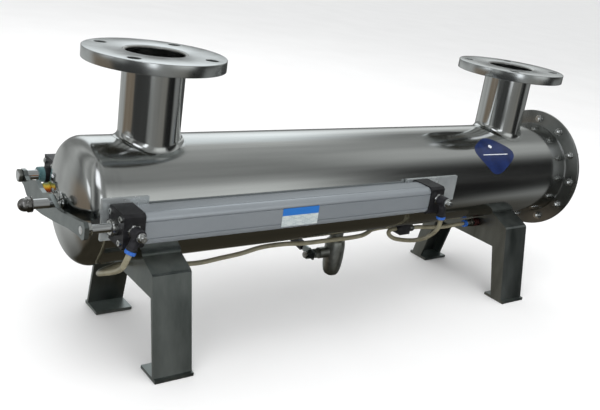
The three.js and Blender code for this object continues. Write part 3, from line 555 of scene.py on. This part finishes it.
# T slots: two fine grooves on each face
out = []
for a, b in zip(prof, prof[1:] + prof[:1]):
    out.append(a)
    d = math.hypot(b[0] - a[0], b[1] - a[1])
    if d > 10:
        ux, uy = (b[0] - a[0]) / d, (b[1] - a[1]) / d
        nx, ny = -uy, ux
        for f in (0.04, 0.96):
            m = f * d
            for o, dep in ((-0.9, 0), (-0.6, 1.1), (0.6, 1.1), (0.9, 0)):
                out.append((a[0] + ux * (m + o) + nx * dep, a[1] + uy * (m + o) + ny * dep))
vs, fs = [], []
n = len(out)
for x in (-63.7, 451.7):
    for y, z in out:
        vs.append(Vector((x, -120 + y, 7 + z)))
for i in range(n):
    j = (i + 1) % n
    fs.append((i, j, n + j, n + i))
bore = [Vector((x, -120 + 16 * math.cos(2 * math.pi * i / n), 7 + 16 * math.sin(2 * math.pi * i / n))) for x in (-63.7, 451.7) for i in range(n)]
o = len(vs)
vs += bore
for i in range(n):
    j = (i + 1) % n
    fs.append((o + j, o + i, o + n + i, o + n + j))
# end faces join profile and bore, matched by angle
def ring_face(a0, b0, pts):
    ang = lambda i: math.atan2(pts[i][1], pts[i][0]) % (2 * math.pi)
    order = sorted(range(n), key=ang)
    for k in range(n):
        i, j = order[k], order[(k + 1) % n]
        bi = int(round(ang(i) / (2 * math.pi) * n)) % n
        bj = int(round(ang(j) / (2 * math.pi) * n)) % n
        f = []
        for v in (a0 + i, a0 + j, b0 + bj, b0 + bi):
            if v not in f:
                f.append(v)
        if len(f) > 2:
            fs.append(tuple(f))
ring_face(0, o, out)
ring_face(n, o + n, out)
obj_from("barrel_tube", [(vs, fs)], M["alu"], replaces=["cylinder_barrel"], angle=28)


def screw(name, axis, c, x, s, r=3.9):
    """Socket cap screw, its head proud of face x in direction s."""
    p = [(0, x + s * 1.0), (1.7, x + s * 1.0), (1.7, x + s * 2.5), (r - 0.5, x + s * 2.5), (r, x + s * 2.0), (r, x - s * 0.4), (0, x - s * 0.4)]
    obj_from(name, [spin(axis, p, c, 32)], M["bright"])


k = 0
for x, s, tag in ((-94, -1, "front"), (482, 1, "rear")):
    for u in (-16, 16):
        for v in (-16, 16):
            k += 1
            obj_from("cap_screw_%s_%d" % (tag, k), [spin("x", [(0, x + s * 1.2), (1.8, x + s * 1.2), (1.9, x + s * 3.0), (3.9, x + s * 3.0), (4.4, x + s * 2.5), (4.4, x - s * 0.4), (0, x - s * 0.4)], (0, -120 + u, 7 + v), 32)], M["bright"])
for u in (-16, 16):
    for v in (-16, 16):
        k += 1
        obj_from("cap_screw_back_%d" % k, [spin("x", [(0, -101.2), (1.8, -101.2), (1.9, -103.3), (3.9, -103.3), (4.5, -102.8), (4.5, -99.6), (0, -99.6)], (0, 118 + u, 1 + v), 32)], M["bright"])
obj_from("nose_bush", [spin("x", [(6.4, -103.4), (9.6, -103.4), (10.4, -102.6), (11.2, -102.2), (11.2, -94.2), (6.4, -94.2)], (0, -120, 7), 64)], M["bright"])

FACE = -144.0


def fitting(tag, px, pz, d, ln):
    c = (px, 0, pz)
    dv = Vector(d).normalized()
    base = Vector((px, FACE - 13, pz))
    body = [spin("y", [(0, FACE - 20.9), (7.6, FACE - 20.9), (8.6, FACE - 19.9), (8.6, FACE - 5.0), (0, FACE - 5.0)], c, 64),
            spin(tuple(dv), [(0, 0), (6.8, 0), (6.8, ln - 9.6), (7.8, ln - 8.8), (7.8, ln - 5.6), (7.2, ln - 5.0), (0, ln - 5.0)], base, 48)]
    obj_from("elbow_" + tag, body, M["blackplastic"], replaces=["flow_control_" + tag])
    obj_from("banjo_hex_" + tag, [hexa("y", 10.2, FACE - 4.9, FACE - 0.3, c, 0.9, 0.25), disc("y", 8.7, FACE - 6.0, FACE - 4.8, c, 0.3, 48)], M["bright"])
    obj_from("collet_" + tag, [spin(tuple(dv), [(4.2, ln - 4.9), (7.2, ln - 4.9), (7.6, ln - 4.3), (7.6, ln - 0.8), (6.9, ln), (4.2, ln)], base, 48)], M["blue"])
    kn = [spin("y", [(0, FACE - 14), (3, FACE - 14), (3, FACE - 21.3), (6.0, FACE - 21.3), (6.3, FACE - 21.8), (6.3, FACE - 24.6), (5.9, FACE - 25.1), (4.4, FACE - 25.8), (4.4, FACE - 31.3), (3.7, FACE - 32), (1.0, FACE - 32), (0.9, FACE - 31.2), (0, FACE - 31.2)], c, 48)]
    for i in range(20):
        b = 2 * math.pi * i / 20
        kn.append(spin("y", [(0, FACE - 24.5), (0.55, FACE - 24.3), (0.55, FACE - 22), (0, FACE - 21.8)], (px + 6.25 * math.sin(b), 0, pz + 6.25 * math.cos(b)), 6))
    obj_from("needle_knob_" + tag, kn, M["bright"], "adjuster_screw_" + tag, ["adjuster_" + tag])


fitting("front", -80, 9, DIR_F, 27)
fitting("rear", 468, 11, DIR_R, 32)

# label on the barrel and badge on the vessel
lab = [(152, 18.9), (217.6, 18.9), (217.6, -9.4), (152, -9.4)]
lv = [Vector((x, y, z)) for y in (-142.36, -142.62) for x, z in lab]
# keep the label on the flat between the grooves
obj_from("barrel_label", [(lv, [(0, 1, 2, 3), (7, 6, 5, 4), (0, 4, 5, 1), (1, 5, 6, 2), (2, 6, 7, 3), (3, 7, 4, 0)])], M["label"])


def patch(name, corners, r0, r1, mat, n=14, rounding=0.16):
    """Rounded diamond lying on the vessel: corners as (x, angle) with the angle up from -Y."""
    cx = sum(c[0] for c in corners) / 4; ca = sum(c[1] for c in corners) / 4
    outline = []
    for i in range(4):
        a, b, c = corners[i - 1], corners[i], corners[(i + 1) % 4]
        p0 = (b[0] + (a[0] - b[0]) * rounding, b[1] + (a[1] - b[1]) * rounding)
        p1 = (b[0] + (c[0] - b[0]) * rounding, b[1] + (c[1] - b[1]) * rounding)
        for k in range(7):
            t = k / 6
            outline.append(tuple((1 - t) ** 2 * p0[j] + 2 * t * (1 - t) * b[j] + t * t * p1[j] for j in (0, 1)))
    dense = []
    for a, b in zip(outline, outline[1:] + outline[:1]):
        steps = max(1, int(math.hypot(b[0] - a[0], b[1] - a[1]) / 3))
        for k in range(steps):
            dense.append((a[0] + (b[0] - a[0]) * k / steps, a[1] + (b[1] - a[1]) * k / steps))
    m = len(dense); vs, fs = [], []
    rings = [1.0, 0.8, 0.6, 0.4, 0.2]
    pt = lambda x, a, r: Vector((x, -r * math.cos(math.radians(a)), r * math.sin(math.radians(a))))
    for r in (r1, r0):
        for s in rings:
            for x, a in dense:
                vs.append(pt(cx + (x - cx) * s, ca + (a - ca) * s, r))
        vs.append(pt(cx, ca, r))
    L = m * len(rings) + 1
    for side in (0, 1):
        for q in range(len(rings) - 1):
            for i in range(m):
                j = (i + 1) % m
                f = (side * L + q * m + i, side * L + q * m + j, side * L + (q + 1) * m + j, side * L + (q + 1) * m + i)
                fs.append(f if side == 0 else tuple(reversed(f)))
        for i in range(m):
            j = (i + 1) % m
            f = (side * L + (len(rings) - 1) * m + i, side * L + (len(rings) - 1) * m + j, side * L + L - 1)
            fs.append(f if side == 0 else tuple(reversed(f)))
    for i in range(m):
        j = (i + 1) % m
        fs.append((i, L + i, L + j, j))
    return obj_from(name, [(vs, fs)], mat, angle=60)


patch("vessel_badge", [(622, 46), (679, 66), (748, 38.5), (679, 9.5)], 92.02, 92.25, M["badge"], rounding=0.34)
patch("badge_mark_a", [(671, 49.5), (677, 52.5), (683, 49.2), (677, 46.4)], 92.26, 92.34, M["badge_mark"], rounding=0.35)
patch("badge_mark_b", [(650, 39.6), (718, 38.9), (718, 37.9), (650, 38.6)], 92.26, 92.34, M["badge_mark"], rounding=0.02)

# ------------------------------------------------------------ drain valve
dx, bz = 386, -135
body_prof = [(0, -181.5), (6.4, -181.5), (7.6, -181.0), (12.2, -178.2), (14.4, -174), (15.8, -169), (17.2, -161), (18.0, -150), (18.4, -142), (18.4, -128), (18.0, -121), (17.4, -117), (16.6, -113.6), (15.6, -112.3), (0, -112.3)]
vb = obj_from("ball_valve_body", [spin("z", body_prof, (dx, 0, 0), 48)], M["dark"], replaces=["drain_valve_body"], angle=30)
cut(vb, [spin("z", [(0, bz - 14.3), (8.2, bz - 11.7), (13, bz - 5.9), (14.3, bz), (13, bz + 5.9), (8.2, bz + 11.7), (0, bz + 14.3)], (dx, 0, 0), 24),
         spin("x", [(0, dx - 60), (4.5, dx - 60), (4.5, dx - 2), (0, dx - 2)], (0, 0, bz), 32),
         spin("z", [(0, bz + 5), (7.8, bz + 5), (7.8, -100), (0, -100)], (dx, 0, 0), 32),
         spin("z", [(0, -200), (5, -200), (5, bz - 5), (0, bz - 5)], (dx, 0, 0), 32)], 30)
hex_ring = hexa("x", 9.4, dx - 45.8, dx - 36.6, (0, 0, bz), 0.8, 0.1)
boss = obj_from("ball_valve_boss", [hex_ring], M["dark"], angle=30)
cut(boss, [spin("x", [(0, dx - 60), (4.5, dx - 60), (4.5, dx - 2), (0, dx - 2)], (0, 0, bz), 32)], 30)
obj_from("ball_valve_neck", [spin("x", [(4.6, dx - 36.8), (9.4, dx - 36.8), (10, dx - 36.2), (10, dx - 17.2), (4.6, dx - 17.2)], (0, 0, bz), 40)], M["dark"])
obj_from("drain_pipe_stub", [spin("z", [(8, -112), (12, -112), (12.2, -111.4), (12.2, -92.5), (14.5, -91.2), (14.5, -88), (8, -88)], (dx, 0, 0), 48)], M["dark"], replaces=["drain_neck"])
obj_from("lever_hub_nut", [hexa("x", 6.4, dx - 67.5, dx - 62.2, (0, 0, bz), 0.6, 0.4)], M["greynut"], "drain_handle")

# ------------------------------------------------------------ valve and bulkhead
for tag, x0, x1, y, z in (("a", 524.2, 533, -8.5, -103), ("b", 524.2, 533, 4.5, -103), ("c", 556, 571.8, -4, -107)):
    obj_from("port_" + tag, [spin("x", [(4.2, x0), (6.0, x0), (6.5, x0 + 0.5), (6.5, x1 - 2), (5.2, x1), (4.2, x1)], (0, y, z), 40)], M["bright" if tag == "c" else "blackplastic"])
obj_from("bulkhead_set", [spin("x", [(0, 697), (6.8, 697), (7.4, 697.6), (7.4, 709), (0, 709)], (0, -27, -101), 48), hexa("x", 8.6, 709, 717, (0, -27, -101), 0.9, 0.2), hexa("x", 8.6, 735.8, 742, (0, -27, -101), 0.9, 0.5), spin("x", [(0, 742), (5.9, 742), (5.9, 744.5), (5.4, 745), (0, 745)], (0, -27, -101), 32)], M["brass"], replaces=["bulkhead_fitting"])
obj_from("bulkhead_body", [spin("x", [(0, 717), (8.3, 717), (8.3, 729.4), (7.7, 730.1), (0, 730.1)], (0, -27, -101), 48), spin("x", [(5.9, 730), (6.1, 730), (6.1, 736), (5.9, 736)], (0, -27, -101), 32)], M["redfit"])
obj_from("bulkhead_collet", [spin("x", [(4.2, 690.6), (6.6, 690.6), (7.2, 691.4), (7.2, 697.0), (4.2, 697.0)], (0, -27, -101), 40)], M["blue"])

# ------------------------------------------------------------ carried-over CAD nodes
KEEP = {
    "saddle_left": ("frame", 0.8), "saddle_right": ("frame", 0.8), "bracket_front": ("plate", 0.5), "bracket_rear": ("plate", 0.5),
    "front_cap": ("blackpaint", 0.6), "rear_cap": ("blackpaint", 0.6), "guide_block": ("blackpaint", 0.6), "yoke_plate": ("turned", 0.7),
    "air_valve": ("blackplastic", 0.8), "drain_lever": ("turned", 0.4), "lever_grip": ("blackplastic", 1.4), "drain_ball": ("chrome", 0.0),
    "quartz_sleeve_a": ("glass", 0), "quartz_sleeve_b": ("glass", 0), "uv_lamp_a": ("lamp", 0), "uv_lamp_b": ("lamp", 0),
    "wiper_plate_near": ("ptfe", 0), "wiper_plate_far": ("ptfe", 0),
}
for nm, (mt, bw) in KEEP.items():
    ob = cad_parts[nm]
    if ob.material_slots:
        for s in ob.material_slots:
            s.material = M[mt]
    else:
        ob.data.materials.append(M[mt])
    if bw:
        add_bevel(ob, bw, 2, 38)

# ------------------------------------------------------------ studio
def stage_mesh(name, vs, fs, mat):
    me = bpy.data.meshes.new(name)
    me.from_pydata(vs, [], fs)
    me.materials.append(mat)
    ob = bpy.data.objects.new(name, me)
    bpy.context.scene.collection.objects.link(ob)
    return ob


m, nt, b = nt_new("floor")
b.inputs["Roughness"].default_value = 0.9
nt.links.new(ramp(nt, noise(nt, mapped(nt), 3, 3), [(0.3, (0.90, 0.90, 0.90)), (0.7, (0.93, 0.93, 0.93))]), b.inputs["Base Color"])
lp = nt.nodes.new("ShaderNodeLightPath")
tr = nt.nodes.new("ShaderNodeBsdfTransparent")
ms = nt.nodes.new("ShaderNodeMixShader")
nt.links.new(lp.outputs["Is Glossy Ray"], ms.inputs[0])
nt.links.new(b.outputs["BSDF"], ms.inputs[1])
nt.links.new(tr.outputs["BSDF"], ms.inputs[2])
nt.links.new(ms.outputs["Shader"], nt.nodes["Material Output"].inputs["Surface"])
S = 60.0
stage_mesh("floor", [(-S, -S, -0.0005), (S, -S, -0.0005), (S, S, -0.0005), (-S, S, -0.0005)], [(0, 1, 2, 3)], m)


def area(name, loc, target, sx, sy, power, color=(1, 1, 1)):
    l = bpy.data.lights.new(name, "AREA")
    l.shape = "RECTANGLE"; l.size, l.size_y = sx, sy
    l.energy = power; l.color = color
    o = bpy.data.objects.new(name, l)
    o.location = loc
    o.rotation_euler = (Vector(target) - Vector(loc)).to_track_quat("-Z", "Y").to_euler()
    bpy.context.scene.collection.objects.link(o)
    return o


for args in (("key", (-0.6, -0.9, 2.6), (0, 0, 0), 2.6, 2.2, 34), ("back", (0.5, 2.4, 2.4), (0, 0, 0.1), 3.0, 1.6, 14), ("left_fill", (-2.4, -1.2, 1.2), (-0.4, 0, 0.2), 1.4, 1.4, 9)):
    area(*args).visible_glossy = False

w = bpy.data.worlds.new("studio")
bpy.context.scene.world = w
w.use_nodes = True
nt = w.node_tree
bg = nt.nodes["Background"]
tc = nt.nodes.new("ShaderNodeTexCoord")
sep = nt.nodes.new("ShaderNodeSeparateXYZ")
nt.links.new(tc.outputs["Generated"], sep.inputs["Vector"])


def mth(op, a, b=None, c=None):
    n = nt.nodes.new("ShaderNodeMath")
    n.operation = op
    for i, v in enumerate((a, b, c)):
        if v is None:
            continue
        if isinstance(v, (int, float)):
            n.inputs[i].default_value = v
        else:
            nt.links.new(v, n.inputs[i])
    return n.outputs[0]


def step(v, lo, hi):
    r = nt.nodes.new("ShaderNodeMapRange")
    r.interpolation_type = "SMOOTHSTEP"
    r.inputs["From Min"].default_value = lo
    r.inputs["From Max"].default_value = hi
    nt.links.new(v, r.inputs["Value"])
    return r.outputs["Result"]


def blend(f, a, b):
    n = nt.nodes.new("ShaderNodeMix"); n.data_type = "RGBA"
    if isinstance(f, (int, float)):
        n.inputs["Factor"].default_value = f
    else:
        nt.links.new(f, n.inputs["Factor"])
    for k, v in (("A", a), ("B", b)):
        if isinstance(v, tuple):
            n.inputs[k].default_value = (*v, 1)
        else:
            nt.links.new(v, n.inputs[k])
    return n.outputs["Result"]


X, Y, Z = sep.outputs["X"], sep.outputs["Y"], sep.outputs["Z"]
# roll: 0 = level and out of the front, 90 = straight up, 180 = level and out of the back
roll = mth("DIVIDE", mth("DEGREES", mth("ARCTAN2", Z, mth("MULTIPLY", Y, -1.0))), 360.0)
roll = mth("ADD", roll, 0.5)
G = lambda v, t=(1.0, 1.0, 1.0): (v * t[0], v * t[1], v * t[2])
cool, warm = (0.97, 1.0, 0.985), (1.0, 0.98, 0.90)
R_ = lambda rows: ramp(nt, roll, [(d / 360 + 0.5, G(v, t)) for d, v, t in rows])
left = R_([(-180, 0.25, cool), (-20, 0.10, warm), (-6, 0.45, cool), (6, 0.72, cool), (24, 0.66, cool), (36, 0.34, cool), (48, 0.20, cool), (66, 0.27, cool), (84, 0.31, cool), (104, 0.40, cool), (118, 0.62, cool), (130, 1.0, (0.93, 1.0, 1.03)), (152, 1.22, (0.95, 1.0, 1.02)), (163, 1.0, (0.95, 1.0, 1.02)), (172, 0.3, cool), (179, 0.15, cool)])
right = R_([(-180, 0.2, cool), (-20, 0.06, warm), (0, 0.025, cool), (26, 0.02, cool), (36, 0.06, cool), (48, 0.22, cool), (62, 0.46, cool), (76, 0.50, cool), (90, 0.30, cool), (108, 0.27, cool), (128, 0.24, cool), (146, 0.50, cool), (158, 0.85, (0.96, 1.0, 1.0)), (166, 0.55, cool), (173, 0.2, cool), (179, 0.1, cool)])
upper = blend(step(X, 0.55, 0.70), left, right)
# directions out over the head: soft panels side by side
az = mth("ADD", mth("DIVIDE", mth("DEGREES", mth("ARCTAN2", Y, X)), 360.0), 0.5)
A_ = lambda rows: ramp(nt, az, [(d / 360 + 0.5, G(v, t)) for d, v, t in rows])
over = A_([(-180, 0.22, cool), (-168, 0.46, cool), (-154, 0.10, cool), (-140, 0.09, cool), (-126, 0.36, cool), (-112, 0.30, cool), (-90, 0.24, cool), (0, 0.2, cool), (110, 0.24, cool), (128, 0.46, cool), (142, 0.12, cool), (160, 0.40, cool), (180, 0.22, cool)])
upper = blend(step(X, 0.22, -0.05), upper, over)
# a tall window off the front left
win = mth("MULTIPLY", mth("MULTIPLY", step(az, -126 / 360 + 0.5, -121 / 360 + 0.5), step(az, -109 / 360 + 0.5, -114 / 360 + 0.5)), mth("MULTIPLY", step(Z, -0.16, -0.08), step(Z, 0.46, 0.36)))
# below the horizon: the room in upright bands
low = A_([(-180, 0.05, cool), (-128, 0.045, cool), (-116, 0.24, cool), (-66, 0.20, warm), (-56, 0.02, cool), (-34, 0.015, cool), (-26, 0.24, cool), (6, 0.20, cool), (18, 0.07, cool), (60, 0.07, cool), (72, 0.45, cool), (128, 0.42, cool), (140, 0.19, (1.1, 0.92, 0.72)), (172, 0.17, (1.1, 0.92, 0.72)), (180, 0.05, cool)])
low = blend(step(Z, -0.40, -0.72), low, (0.035, 0.031, 0.022))
env = blend(step(Z, -0.02, -0.14), upper, low)
env = blend(win, env, (1.5, 1.55, 1.6))
high = mth("MULTIPLY", mth("MULTIPLY", step(az, -153 / 360 + 0.5, -144 / 360 + 0.5), step(az, -112 / 360 + 0.5, -120 / 360 + 0.5)), mth("MULTIPLY", step(Z, 0.52, 0.64), step(Z, 0.94, 0.88)))
env = blend(high, env, (1.35, 1.38, 1.45))
side = mth("MULTIPLY", mth("MULTIPLY", step(az, 160 / 360 + 0.5, 165 / 360 + 0.5), step(az, 181 / 360 + 0.5, 177 / 360 + 0.5)), mth("MULTIPLY", step(Z, -0.02, 0.04), step(Z, 0.24, 0.18)))
env = blend(side, env, (1.25, 1.3, 1.35))
# uneven walls
nz = nt.nodes.new("ShaderNodeTexNoise")
nz.inputs["Scale"].default_value = 3.2
nz.inputs["Detail"].default_value = 3
nt.links.new(tc.outputs["Generated"], nz.inputs["Vector"])
mod = mth("ADD", mth("MULTIPLY", nz.outputs["Fac"], 0.7), 0.65)
sc = nt.nodes.new("ShaderNodeVectorMath"); sc.operation = "SCALE"
nt.links.new(env, sc.inputs[0]); nt.links.new(mod, sc.inputs["Scale"])
lp = nt.nodes.new("ShaderNodeLightPath")
out = blend(lp.outputs["Is Diffuse Ray"], sc.outputs[0], (0.96, 0.96, 0.96))
out = blend(lp.outputs["Is Camera Ray"], out, (0.97, 0.97, 0.97))
nt.links.new(out, bg.inputs["Color"])
bg.inputs["Strength"].default_value = 1.0
bpy.context.scene.view_settings.view_transform = "Standard"
